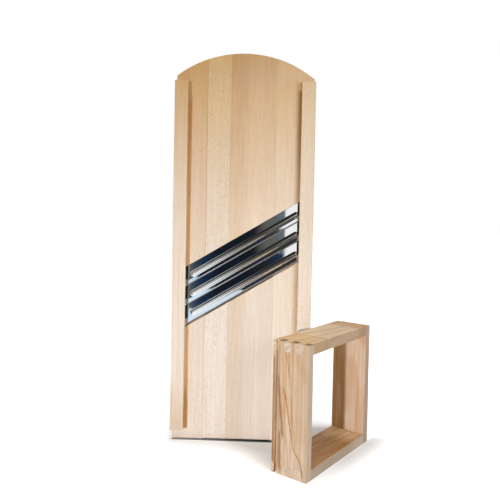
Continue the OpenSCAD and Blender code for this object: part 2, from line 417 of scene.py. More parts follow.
@dataclass(frozen=True)
class HeartLine:
    """One line of the heartwood figure: its points as height and distance from the free rim, in metres."""

    points: tuple[Span, ...]
    width: float
    depth: float
    tone: HeartTone = HeartTone.BROWN
    taper: float = 0.012
    core: float = 0.25
    reach: float = 0.2
    wall: float = 0.058

    def middle(self, sheet: NodeSheet, up: object) -> NodeSocket:
        """Where the line runs at each height.

        Args:
            sheet: the group's sheet.
            up: the height.

        Returns:
            Its distance from the free rim.
        """
        node = sheet.add("ShaderNodeFloatCurve")
        curve = node.mapping.curves[0]
        places = sorted((height / self.reach, across / self.wall) for height, across in self.points)
        for point, place in zip((curve.points[0], curve.points[1]), (places[0], places[-1])):
            point.location = place
        for place in places[1:-1]:
            curve.points.new(*place)
        node.mapping.update()
        sheet.put(node.inputs["Value"], sheet.math("DIVIDE", up, self.reach))
        return sheet.times(node.outputs[0], self.wall)

    def stroke(self, sheet: NodeSheet, across: object, up: object) -> NodeSocket:
        """The line's mask, which fades out at both ends.

        Args:
            sheet: the group's sheet.
            across: the distance from the free rim.
            up: the height.

        Returns:
            The mask.
        """
        heights = [height for height, _ in self.points]
        low, high = min(heights), max(heights)
        gap = sheet.apart(across, self.middle(sheet, up))
        ends = sheet.times(sheet.ranged(up, low - self.taper, low), sheet.ranged(up, high + self.taper, high))
        return sheet.times(sheet.ranged(gap, self.width, self.width * self.core), self.depth, ends)


HEART_LINES = (
    HeartLine(((0.012, 0.0072), (0.022, 0.0091), (0.032, 0.0150), (0.042, 0.0211), (0.054, 0.0241), (0.070, 0.0278),
               (0.0875, 0.0311), (0.103, 0.0343), (0.117, 0.0381)), 0.0015, 0.95),
    HeartLine(((0.060, 0.0405), (0.085, 0.0430), (0.105, 0.0455), (0.135, 0.0487)), 0.0036, 1.0),
    HeartLine(((0.109, 0.0262), (0.124, 0.0283)), 0.0011, 0.5),
    HeartLine(((0.140, 0.0304), (0.147, 0.0315), (0.159, 0.0340), (0.1685, 0.0361)), 0.0012, 0.6, taper=0.004),
    HeartLine(((0.140, 0.0302), (0.154, 0.0307), (0.1625, 0.0303), (0.169, 0.0316)), 0.0012, 0.6, taper=0.004),
    HeartLine(((0.012, 0.0437), (0.034, 0.0445), (0.056, 0.0450)), 0.0030, 1.0),
    HeartLine(((0.028, 0.0372), (0.039, 0.0367), (0.051, 0.0353)), 0.0009, 0.4),
    HeartLine(((0.014, 0.0473), (0.175, 0.0473)), 0.0022, 0.5),
    HeartLine(((0.012, 0.0555), (0.16, 0.0560)), 0.0030, 0.85),
    HeartLine(((0.034, 0.0130), (0.048, 0.0200), (0.0705, 0.0235), (0.088, 0.0265)), 0.0045, 0.40,
              HeartTone.ORANGE, 0.03),
    HeartLine(((0.060, 0.0180), (0.180, 0.0240)), 0.0060, 0.15, HeartTone.ORANGE, 0.03),
    HeartLine(((0.088, 0.0258), (0.108, 0.0272), (0.138, 0.0285)), 0.0016, 0.40),
    HeartLine(((0.100, 0.0375), (0.130, 0.0385), (0.160, 0.0400)), 0.0055, 0.55, HeartTone.ORANGE, 0.03),
    HeartLine(((0.135, 0.0260), (0.150, 0.0268), (0.172, 0.0280)), 0.0060, 0.45, HeartTone.ORANGE, 0.03),
    HeartLine(((0.052, 0.0195), (0.075, 0.0238), (0.098, 0.0265)), 0.0022, 0.35),
    HeartLine(((0.120, 0.0400), (0.150, 0.0415), (0.172, 0.0425)), 0.0024, 0.30),
    HeartLine(((0.020, 0.0300), (0.060, 0.0345), (0.095, 0.0390)), 0.0016, 0.30),
)


@dataclass(frozen=True)
class HeartStreaks(SharedEffect):
    """Brown heartwood lines and their warm edges on a wall: Y from its free rim inwards and Z up."""

    ragged: Point = (300, 300, 45)
    ragged_width: float = 0.0036
    name = "heart_streaks"
    inputs = {"Place": Plug.VECTOR}
    outputs = {tone.value: Plug.NUMBER for tone in HeartTone}

    def write(self, sheet: NodeSheet, given: Node, result: Node) -> None:
        """Adds the figure's nodes.

        Args:
            sheet: the group's sheet.
            given: the node with its inputs.
            result: the node that takes its outputs.
        """
        place = given.outputs["Place"]
        _, across, up = sheet.split(place)
        ragged = sheet.math("SUBTRACT", sheet.noise(place, self.ragged, detail=3.0, rough=0.6), NOISE_MIDDLE)
        level = sheet.math("ADD", across, sheet.times(ragged, self.ragged_width))
        for tone in HeartTone:
            total: object = 0.0
            for line in HEART_LINES:
                if line.tone is tone:
                    total = sheet.math("MAXIMUM", total, line.stroke(sheet, level, up))
            sheet.put(result.inputs[tone.value], total)


def bare_material(name: str) -> tuple[Material, NodeSheet]:
    """Makes a material with no nodes.

    Args:
        name: the material's name.

    Returns:
        The material and its sheet.
    """
    material = bpy.data.materials.new(name)
    material.use_nodes = True
    material.node_tree.nodes.clear()
    return material, NodeSheet(material.node_tree)


def new_material(name: str) -> tuple[Material, NodeSheet, Node]:
    """Makes a material with one Principled BSDF.

    Args:
        name: the material's name.

    Returns:
        The material, its sheet and the shader node.
    """
    material, sheet = bare_material(name)
    shader = sheet.add("ShaderNodeBsdfPrincipled")
    sheet.show(shader.outputs[0])
    return material, sheet, shader


@dataclass(frozen=True)
class RailShade:
    """Painted shade beside a rail, a warm brown over the rail's cast shadow on the board that gets lighter near the
    rail's top: where it is across and up the board, and its tints.
    """

    across: Span
    tint: Colour = (1.21, 0.96, 0.63)
    top: Span = (0.5698, 0.5680)
    crown: Span = (0.53, 0.56)
    crown_tint: Colour = (1.12, 1.44, 2.2)
    high: Span = (0.30, 0.50)
    high_tint: Colour | None = None
    low: Span = (0.115, 0.05)
    low_tint: Colour = (0.76, 0.62, 0.44)
    foot: Span = (0.014, 0.019)
    face: float = -0.0085

    def over(self, sheet: NodeSheet, colour: NodeSocket) -> NodeSocket:
        """Lays the painted shade beside the rail over the wood.

        Args:
            sheet: the material's sheet.
            colour: the wood's colour.

        Returns:
            The colour with the painted shade.
        """
        across, deep, up = sheet.split(sheet.spot())
        rail_shade_mask = sheet.times(sheet.ranged(across, *self.across), sheet.ranged(up, *self.top),
                             sheet.math("LESS_THAN", deep, self.face), sheet.ranged(up, *self.foot))
        shaded_wood = sheet.mix(1.0, colour, self.tint, "MULTIPLY")
        shaded_wood = sheet.tinted(sheet.ranged(up, *self.low), shaded_wood, self.low_tint)
        if self.high_tint:
            shaded_wood = sheet.tinted(sheet.ranged(up, *self.high), shaded_wood, self.high_tint)
        # Painted light: the shade beside the rail gets lighter towards the rail's top.
        shaded_wood = sheet.tinted(sheet.ranged(up, *self.crown), shaded_wood, self.crown_tint)
        return sheet.mix(rail_shade_mask, colour, shaded_wood)


@dataclass(frozen=True)
class BoxToneAndShade:
    """Tones and painted light and shade on a wall of the box: its free rim, its close lines and what differs along it
    and further in.
    """

    rim: Colour
    rim_width: Span = (0.0008, 0.0004)
    rim_share: float = 0.6
    close: float = 0.0
    close_scale: Span = (800, 6)
    close_from: Span = (0.44, 0.62)
    close_tint: Colour = (0.84, 0.72, 0.58)
    belt: float | None = None
    belt_width: Span = (0.0034, 0.0010)
    belt_share: float = 0.55
    belt_inside: Span = (0.001, 0.003)
    belt_tint: Colour = (0.78, 0.62, 0.44)
    near_fade: float = 0.002
    near_tint: Colour = (0.98, 0.92, 0.80)
    far: Span = (0.135, 0.160)
    far_tint: Colour = (0.84, 0.64, 0.43)
    painted_light_end: Span | None = None
    painted_light_tint: Colour = (1.52, 1.92, 2.80)
    brown: Span | None = None
    painted_shade_tint: Colour = (0.76, 0.60, 0.38)

    def belted(self, sheet: NodeSheet, colour: NodeSocket, along: NodeSocket, deep: NodeSocket) -> NodeSocket:
        """A wall with a brown belt across it, yellower on its near side and browner at the far end.

        Args:
            sheet: the material's sheet.
            colour: the wood's colour.
            along: the place along the wall.
            deep: the distance from the free rim.

        Returns:
            The colour with the belt.
        """
        colour = sheet.tinted(sheet.ranged(along, self.belt, self.belt - self.near_fade), colour, self.near_tint)
        colour = sheet.tinted(sheet.ranged(along, *self.far), colour, self.far_tint)
        belt = sheet.ranged(sheet.apart(along, self.belt), *self.belt_width, 0.0, self.belt_share)
        return sheet.tinted(sheet.times(belt, sheet.ranged(deep, *self.belt_inside)), colour, self.belt_tint)

    def over(self, sheet: NodeSheet, colour: NodeSocket, fibre: Fibre, seed: float) -> NodeSocket:
        """Lays these tones and the painted light and shade over a wall.

        Args:
            sheet: the material's sheet.
            colour: the wood's colour.
            fibre: which way its fibres run.
            seed: shifts the close lines.

        Returns:
            The aged colour.
        """
        own = BOX_PLACE.own_axes(sheet)
        along, deep, _ = sheet.split(own)
        if self.close > 0.0:
            fine, long = self.close_scale
            run = (long, fine, fine) if fibre is Fibre.ACROSS else (fine, fine, long)
            veins = sheet.noise(sheet.mapped(own, location=(0, seed, 0), scale=run), 1.0, detail=1.0)
            colour = sheet.tinted(sheet.ranged(veins, *self.close_from, 0.0, self.close), colour, self.close_tint)
        if self.belt is not None:
            colour = self.belted(sheet, colour, along, deep)
        # Painted light: the wall gets much paler towards one end, where light falls in.
        if self.painted_light_end:
            colour = sheet.tinted(sheet.ranged(along, *self.painted_light_end), colour, self.painted_light_tint)
        # Painted shade: the wall is browner further in from the free rim, where it lies in shade.
        if self.brown:
            colour = sheet.tinted(sheet.ranged(deep, *self.brown), colour, self.painted_shade_tint)
        # The free rim's colour: partly the rim's own tone and partly painted light and shade for how light falls on the
        # rim faces.
        return sheet.mix(sheet.ranged(deep, *self.rim_width, 0.0, self.rim_share), colour, self.rim)


@dataclass(frozen=True)
class BeechFinish:
    """Bare planed beech, from its pale tone to its honey tone, named for the CAD node that wears it."""

    name: str
    pale: Colour
    honey: Colour
    fibre: Fibre = Fibre.UP
    seed: float = 0.0
    lines: float = 0.30
    streaks: float = 0.14
    bands: float = 0.22
    flecks: float = 0.6
    rings: float = 0.0
    honey_and_shade_span: Span = (0.16, 0.61)
    honey_and_shade_power: float = 1.75
    clouds: float = 0.16
    cloud_scale: Point = (9, 9, 4)
    foot_ripe: float = 0.0
    foot: Span = (0.12, 0.02)
    heart: bool = False
    heart_tint: Colour = (0.58, 0.41, 0.27)
    heart_edge_tint: Colour = (0.98, 0.82, 0.60)
    flank: Span | None = None
    flank_tint: Colour = (0.91, 0.855, 0.79)
    crown: bool = False
    crown_from: Span = (0.545, 0.585)
    crown_tint: Colour = (0.955, 0.985, 1.10)
    rail_shade: RailShade | None = None
    seam: float | None = None
    seam_width: Span = (0.0014, 0.0006)
    seam_share: float = 0.55
    seam_tint: Colour = (0.80, 0.66, 0.50)
    age: BoxToneAndShade | None = None
    end_pale: Colour = (0.56, 0.42, 0.30)
    end_dark: Colour = (0.40, 0.28, 0.18)
    side_bump: Span = (0.25, 0.0003)
    side_gloss: float = 0.3
    end_bump: Span = (0.35, 0.0004)
    end_gloss: float = 0.2
    seed_shift: Point = (0.37, 0.53, 0.71)

    def fibre_way(self) -> Vector:
        """Direction of the fibres."""
        return BOX_PLACE.along() if self.fibre is Fibre.ACROSS else Vector((0, 0, 1))

    def grain_place(self, sheet: NodeSheet) -> NodeSocket:
        """Coordinates with the fibres along Z, shifted so that no two pieces share a figure.

        Args:
            sheet: the material's sheet.

        Returns:
            The coordinates' socket.
        """
        if self.fibre is Fibre.ACROSS:
            place = sheet.mapped(BOX_PLACE.own_axes(sheet), rotation=(0, -math.pi / 2, 0))
        else:
            place = sheet.spot()
        return sheet.mapped(place, location=[self.seed * shift for shift in self.seed_shift])

    def honey_and_top_shade(self, sheet: NodeSheet) -> NodeSocket:
        """How far the wood goes from its pale tone to its honey tone, more towards the top, with soft clouds: partly
        the wood's own tone and partly painted shade for the light falling off up the board.

        Args:
            sheet: the material's sheet.

        Returns:
            The mask's socket.
        """
        place = sheet.spot()
        up = sheet.split(place)[2]
        # Painted shade and honey tone: darker and warmer towards the top.
        curve = sheet.math("POWER", sheet.ranged(up, *self.honey_and_shade_span, smooth=False), self.honey_and_shade_power)
        cloud = sheet.noise(sheet.mapped(place, location=(self.seed, 0, 0), scale=self.cloud_scale), 1.0)
        if self.foot_ripe > 0.0:
            curve = sheet.math("ADD", curve, sheet.ranged(up, *self.foot, 0.0, self.foot_ripe))
        cloud = sheet.math("SUBTRACT", cloud, NOISE_MIDDLE)
        return sheet.math("ADD", curve, sheet.times(cloud, self.clouds), clamp=True)

    def toned(self, sheet: NodeSheet, colour: NodeSocket) -> NodeSocket:
        """Wood with the heartwood figure, browner along one joint, and with painted shade that makes it greyer at the
        top of the board, where it has them.

        Args:
            sheet: the material's sheet.
            colour: the wood's colour.

        Returns:
            The toned colour.
        """
        if self.heart:
            figure = HeartStreaks().place(sheet, Place=BOX_PLACE.own_axes(sheet))
            colour = sheet.tinted(figure.outputs[HeartTone.ORANGE.value], colour, self.heart_edge_tint)
            colour = sheet.tinted(figure.outputs[HeartTone.BROWN.value], colour, self.heart_tint)
        if self.flank:
            across = sheet.split(sheet.spot())[0]
            colour = sheet.tinted(sheet.ranged(across, *self.flank), colour, self.flank_tint)
        # Painted shade: the wood is greyer and a little darker at the top of the board.
        if self.crown:
            up = sheet.split(sheet.spot())[2]
            colour = sheet.tinted(sheet.ranged(up, *self.crown_from), colour, self.crown_tint)
        return colour

    def seamed(self, sheet: NodeSheet, colour: NodeSocket) -> NodeSocket:
        """Wood with a thin glue line along its joint."""
        gap = sheet.apart(sheet.split(sheet.spot())[0], self.seam)
        return sheet.tinted(sheet.ranged(gap, *self.seam_width, 0.0, self.seam_share), colour, self.seam_tint)

    def side(self) -> Material:
        """The long-grain material.

        Returns:
            The material.
        """
        material, sheet, shader = new_material(f"{self.name}_side_grain")
        grain = BeechGrain().place(
            sheet, Place=self.grain_place(sheet), Pale=self.pale, Honey=self.honey, Ripe=self.honey_and_top_shade(sheet),
            Lines=self.lines, Streaks=self.streaks, Bands=self.bands, Flecks=self.flecks, Rings=self.rings)
        colour = self.toned(sheet, grain.outputs["Colour"])
        # Painted shade beside the rails.
        if self.rail_shade:
            colour = self.rail_shade.over(sheet, colour)
        if self.seam is not None:
            colour = self.seamed(sheet, colour)
        # Tones and painted light and shade on the box's walls.
        if self.age:
            colour = self.age.over(sheet, colour, self.fibre, self.seed)
        sheet.fill(shader, {"Base Color": colour, "Roughness": grain.outputs["Roughness"],
                            "Normal": sheet.bump(grain.outputs["Height"], *self.side_bump),
                            "Specular IOR Level": self.side_gloss})
        return material

    def end(self) -> Material:
        """The end-grain material.

        Returns:
            The material.
        """
        material, sheet, shader = new_material(f"{self.name}_end_grain")
        grain = EndGrain().place(sheet, Place=self.grain_place(sheet), Pale=self.end_pale, Dark=self.end_dark)
        sheet.fill(shader, {"Base Color": grain.outputs["Colour"], "Roughness": grain.outputs["Roughness"],
                            "Normal": sheet.bump(grain.outputs["Height"], *self.end_bump),
                            "Specular IOR Level": self.end_gloss})
        return material


@dataclass(frozen=True)
class SteelFinish:
    """Bright steel with faint lines along its rolling or grinding direction, and painted shade at a blade's ends."""

    name: str
    colour: Colour
    dull: Colour
    smooth: float
    rough: float
    turn: float = 0.0
    line_scale: Point = (30.0, 900.0, 900.0)
    line_from: Span = (0.3, 0.7)
    line_share: float = 0.35
    bump_strength: float = 0.12
    bump_height: float = 0.00002
    haze: float = 0.015
    haze_scale: float = 45.0
    haze_from: Span = (0.45, 0.75)
    end_shade_from: float = 0.0
    end_shade_fade: float = 0.002
    end_shade_colour: Colour = (0.06, 0.055, 0.05)
    end_shade_up: Span = (0.0070, 0.0095)
    end_shade_face: Span = (-0.0030, -0.0055)
    row_from: float = 0.20315
    row_pitch: float = 0.0267

    def painted_end_shade(self, sheet: NodeSheet, turned: NodeSocket) -> NodeSocket:
        """A mask of the painted shade at the blades' ends, on the upper part of each blade's front.

        Args:
            sheet: the material's sheet.
            turned: coordinates along and up the blades.

        Returns:
            The mask.
        """
        across, deep, _ = sheet.split(sheet.spot())
        above = sheet.math("SUBTRACT", sheet.split(turned)[2], self.row_from)
        row = sheet.math("FLOORED_MODULO", above, self.row_pitch)
        out = sheet.ranged(sheet.math("ABSOLUTE", across), self.end_shade_from, self.end_shade_from + self.end_shade_fade)
        return sheet.times(out, sheet.ranged(row, *self.end_shade_up), sheet.ranged(deep, *self.end_shade_face))

    def material(self) -> Material:
        """The steel's material.

        Returns:
            The material.
        """
        material, sheet, shader = new_material(self.name)
        place = sheet.spot()
        turned = sheet.mapped(place, rotation=(0, math.radians(self.turn), 0))
        lines = sheet.noise(turned, self.line_scale, detail=3.0, rough=0.6)
        haze = sheet.ranged(sheet.noise(place, self.haze_scale, detail=3.0, rough=0.55), *self.haze_from)
        colour = sheet.mix(sheet.math("MULTIPLY", lines, self.line_share, clamp=True), self.colour, self.dull)
        # Painted shade: the steel darkens at the blades' bent ends.
        if self.end_shade_from > 0.0:
            colour = sheet.mix(self.painted_end_shade(sheet, turned), colour, self.end_shade_colour)
        rough = sheet.ranged(lines, *self.line_from, self.smooth, self.rough)
        sheet.fill(shader, {"Base Color": colour, "Metallic": 1.0,
                            "Roughness": sheet.math("ADD", rough, sheet.times(haze, self.haze)),
                            "Normal": sheet.bump(lines, self.bump_strength, self.bump_height)})
        return material


def stand(name: str, data: bpy.types.ID) -> bpy.types.Object:
    """Makes an object and links it to the scene.

    Args:
        name: the object's name.
        data: its mesh, lamp or camera.

    Returns:
        The object.
    """
    thing = bpy.data.objects.new(name, data)
    bpy.context.scene.collection.objects.link(thing)
    return thing


def meshed(bm: BMesh, name: str, materials: Iterable[Material] = ()) -> bpy.types.Mesh:
    """Turns a bmesh into a mesh.

    Args:
        bm: the shape, which is freed here.
        name: the mesh's name.
        materials: its materials, in the order of the faces' indices.

    Returns:
        The mesh.
    """
    mesh = bpy.data.meshes.new(name)
    bm.to_mesh(mesh)
    bm.free()
    for material in materials:
        mesh.materials.append(material)
    return mesh


def pour(bm: BMesh, into: BMesh) -> None:
    """Adds a shape to another one.

    Args:
        bm: what is added, which is freed here.
        into: the shape that takes it.
    """
    part = meshed(bm, "poured_part")
    into.from_mesh(part)
    bpy.data.meshes.remove(part)


def finish_piece(bm: BMesh, name: str, materials: Iterable[Material], body: str, nodes: Iterable[str],
                 smooth_angle: float = 20.0) -> None:
    """Turns a bmesh into a piece that rides on a body and stands for CAD nodes.

    Args:
        bm: the finished shape, which is freed here.
        name: the piece's name.
        materials: its materials, in the order of the faces' indices.
        body: the CAD body that carries it.
        nodes: the CAD nodes that it stands for.
        smooth_angle: edges sharper than this stay sharp, in degrees.
    """
    mesh = meshed(bm, name, materials)
    mesh.shade_smooth()
    mesh.set_sharp_from_angle(angle=math.radians(smooth_angle))
    piece = stand(name, mesh)
    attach(piece, body)
    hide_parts(*nodes)
    LOG.info("%s: %d faces, rides on %s", name, len(mesh.polygons), body)


def merged_copy(node: str) -> BMesh:
    """A copy of a CAD node's mesh with its doubled points merged.

    Args:
        node: the CAD node's name.

    Returns:
        The copy.
    """
    bm = bmesh.new()
    bm.from_mesh(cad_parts[node].data)
    bmesh.ops.remove_doubles(bm, verts=bm.verts[:], dist=MERGE_DISTANCE)
    return bm


def cad_copy(node: str) -> BMesh:
    """A merged copy of a CAD node's mesh, with its flat faces whole again.

    Args:
        node: the CAD node's name.

    Returns:
        The copy.
    """
    bm = merged_copy(node)
    bmesh.ops.dissolve_limit(bm, angle_limit=FLAT_WITHIN, verts=bm.verts[:], edges=bm.edges[:])
    return bm


def sharp_edges(bm: BMesh, keep: Callable[[BMEdge], bool] = lambda edge: True) -> list[BMEdge]:
    """The convex edges that are sharp enough to be eased, as far as keep picks them."""
    return [edge for edge in bm.edges
            if len(edge.link_faces) == 2 and edge.calc_face_angle_signed(0.0) > EASED_FROM and keep(edge)]


def ease(bm: BMesh, edges: list[BMEdge], width: float, segments: int = 2) -> None:
    """Rounds edges off, by a width in metres and with a number of faces."""
    bmesh.ops.bevel(bm, geom=edges, offset=width, offset_type="OFFSET", segments=segments, profile=0.5,
                    affect="EDGES", clamp_overlap=True, material=-1)


def wood_piece(bm: BMesh, finish: BeechFinish, body: str) -> None:
    """Dresses a wooden piece, with end grain on the faces that cut across its fibres.

    Args:
        bm: the finished shape, which is freed here.
        finish: its finish, named for the CAD node that it stands for.
        body: the CAD body that carries it.
    """
    way = finish.fibre_way()
    bm.normal_update()
    for face in bm.faces:
        face.material_index = 1 if abs(face.normal.dot(way)) > END_GRAIN_FROM else 0
    finish_piece(bm, f"dressed_{finish.name}", (finish.side(), finish.end()), body, (finish.name,))


BLADE_ANGLE = 31.0
BLADE_TILT = 6.5
# The lower staves' end grain is painted dark: painted shade on the window's lower face under the blades. They get no
# painted shade at the top of the board.
LOWER_STAVE_SHADED_ENDS = {"crown": False, "end_pale": (0.24, 0.15, 0.09), "end_dark": (0.15, 0.09, 0.05)}
UPPER_NARROW = BeechFinish("upper_narrow_stave", (0.85, 0.77, 0.69), (0.55, 0.36, 0.15), seed=2.0, honey_and_shade_power=1.25,
                           lines=0.42, flecks=1.0, crown=True)
UPPER_WIDE = BeechFinish("upper_wide_stave", (0.95, 0.84, 0.715), (0.51, 0.315, 0.14), seed=3.0, honey_and_shade_power=1.2,
                         lines=0.52, flecks=0.4, flank=(0.013, -0.006), crown=True)


@dataclass
class Board:
    """The board's glued staves."""

    joints: tuple[float, ...] = (-0.0590, -0.0220, 0.0495)
    half_width: float = 0.1085
    front: float = -0.009
    foot_lift: Span = (0.0001, 0.0014)
    foot_near: float = 1e-5
    line_near: float = 2e-5
    edge_ease: float = 0.0011
    seam_ease: float = 0.00035
    window_ease: float = 0.00025
    window_slope: float = math.tan(math.radians(BLADE_ANGLE))
    window_low: float = 0.237 - 0.0028 / math.cos(math.radians(BLADE_ANGLE))
    slope_near: float = 0.03
    least_run: float = 1e-4
    lip_rise: float = 0.0018
    finishes: tuple[BeechFinish, ...] = (
        # The edge staves carry painted shade beside the rails.
        BeechFinish("left_edge_stave", (0.82, 0.715, 0.62), (0.50, 0.29, 0.10), seed=1.0, honey_and_shade_power=1.25,
                    streaks=0.22, flecks=0.7, rail_shade=RailShade((-0.0828, -0.0833)), seam=-0.0590, crown=True),
        UPPER_NARROW,
        replace(UPPER_NARROW, name="lower_narrow_stave", **LOWER_STAVE_SHADED_ENDS),
        UPPER_WIDE,
        replace(UPPER_WIDE, name="lower_wide_stave", pale=(0.865, 0.77, 0.68), **LOWER_STAVE_SHADED_ENDS),
        BeechFinish("right_edge_stave", (0.92, 0.84, 0.73), (0.57, 0.37, 0.173), seed=4.0, honey_and_shade_power=1.25,
                    lines=0.52, flecks=0.5, crown=True,
                    rail_shade=RailShade((0.0775, 0.0888), (0.80, 0.66, 0.48), top=(0.5735, 0.5685), crown=(0.553, 0.562),
                                crown_tint=(1.80, 2.25, 3.40), high_tint=(0.55, 0.43, 0.27))),
    )

    def at_joint(self, edge: BMEdge) -> bool:
        """Whether an edge lies on a glue joint between two staves."""
        return any(all(abs(vert.co.x - joint) < self.line_near for vert in edge.verts) for joint in self.joints)

    def at_window(self, edge: BMEdge) -> bool:
        """Whether an edge runs along the window's slanted sides."""
        run = edge.verts[1].co - edge.verts[0].co
        return abs(run.x) > self.least_run and abs(run.z / run.x - self.window_slope) < self.slope_near

    def raise_lip(self, bm: BMesh) -> None:
        """Raises the back of the window's lower side a little, so that it slopes towards the front.

        Args:
            bm: a stave.
        """
        for vert in bm.verts:
            line = self.window_low + self.window_slope * vert.co.x
            if vert.co.y > 0.0 and abs(vert.co.z - line) < self.line_near:
                vert.co.z += self.lip_rise

    def lift_foot(self, bm: BMesh) -> None:
        """Raises the front edge of the foot a little off the floor, more towards the right.

        Args:
            bm: a stave.
        """
        left, right = self.foot_lift
        for vert in bm.verts:
            if vert.co.z < self.foot_near and vert.co.y < self.front + self.foot_near:
                share = (vert.co.x + self.half_width) / (2 * self.half_width)
                vert.co.z += left + (right - left) * share

    def build(self) -> None:
        """Builds and dresses every stave."""
        for finish in self.finishes:
            bm = cad_copy(finish.name)
            self.lift_foot(bm)
            self.raise_lip(bm)
            ease(bm, sharp_edges(bm, lambda edge: not self.at_joint(edge) and not self.at_window(edge)),
                 self.edge_ease)
            ease(bm, sharp_edges(bm, self.at_window), self.window_ease, 1)
            ease(bm, sharp_edges(bm, self.at_joint), self.seam_ease, 1)
            wood_piece(bm, finish, "board")


@dataclass
class EasedWood:
    """Wooden pieces with the shape of their CAD nodes and eased edges."""

    body: str
    slot: str
    edge_ease: float
    finishes: tuple[BeechFinish, ...]

    def build(self) -> None:
        """Builds and dresses every piece."""
        for finish in self.finishes:
            bm = cad_copy(finish.name)
            ease(bm, sharp_edges(bm), self.edge_ease)
            wood_piece(bm, finish, self.body)


@dataclass
class Rails(EasedWood):
    """The two grooved rails."""

    body: str = "board"
    slot: str = "rail_wood"
    edge_ease: float = 0.0005
    finishes: tuple[BeechFinish, ...] = (
        BeechFinish("left_rail", (0.85, 0.742, 0.646), (0.486, 0.29, 0.10), seed=5.0, honey_and_shade_power=1.5, lines=0.4,
                    streaks=0.3, flecks=0.3, foot_ripe=0.35),
        BeechFinish("right_rail", (0.87, 0.787, 0.69), (0.595, 0.433, 0.26), seed=6.0, honey_and_shade_power=1.25, lines=0.3,
                    flecks=0.75),
    )


@dataclass
class Box(EasedWood):
    """The finger-jointed box that carries the cabbage."""

    body: str = "box"
    slot: str = "box_wood"
    edge_ease: float = 0.0004
    finishes: tuple[BeechFinish, ...] = (
        # The left side's dark end grain is partly the fingers' own end grain and partly painted shade in the recesses
        # at their ends.
        BeechFinish("box_left_side", (0.785, 0.645, 0.515), (0.69, 0.52, 0.36), seed=7.0, lines=0.95, streaks=1.0,
                    bands=0.7, flecks=0.3, rings=0.3, honey_and_shade_span=(-0.2, 0.4), heart=True, age=BoxToneAndShade((0.64, 0.51, 0.40)),
                    end_pale=(0.42, 0.27, 0.13), end_dark=(0.26, 0.15, 0.06)),
        # The right side's rear is browner: painted shade on its inner face.
        BeechFinish("box_right_side", (0.83, 0.71, 0.62), (0.77, 0.61, 0.48), seed=8.0, lines=1.2, streaks=0.8,
                    bands=0.4, flecks=0.4, rings=0.55, honey_and_shade_span=(-0.2, 0.4),
                    age=BoxToneAndShade((0.40, 0.30, 0.23), close=0.55, brown=(0.033, 0.039)),
                    end_pale=(0.66, 0.45, 0.24), end_dark=(0.54, 0.36, 0.19)),
        BeechFinish("box_upper_end", (0.96, 0.765, 0.54), (0.89, 0.67, 0.42), Fibre.ACROSS, 9.0, lines=0.8,
                    streaks=0.5, bands=0.7, flecks=0.3, rings=0.45, honey_and_shade_span=(0.0, 0.4),
                    age=BoxToneAndShade((0.36, 0.24, 0.16), belt=0.0535),
                    end_pale=(0.80, 0.66, 0.54), end_dark=(0.58, 0.42, 0.30)),
        # The lower end's dark orange tones are painted shade inside the box; its paler right end is painted light
        # falling in there.
        BeechFinish("box_lower_end", (0.585, 0.352, 0.153), (0.51, 0.288, 0.114), Fibre.ACROSS, 10.0, lines=0.95,
                    streaks=0.7, bands=0.6, flecks=0.3, rings=0.5, honey_and_shade_span=(-0.2, 0.2),
                    age=BoxToneAndShade((0.56, 0.52, 0.46), close=0.5, painted_light_end=(0.118, 0.158)),
                    end_pale=(0.80, 0.66, 0.54), end_dark=(0.58, 0.42, 0.30)),
    )


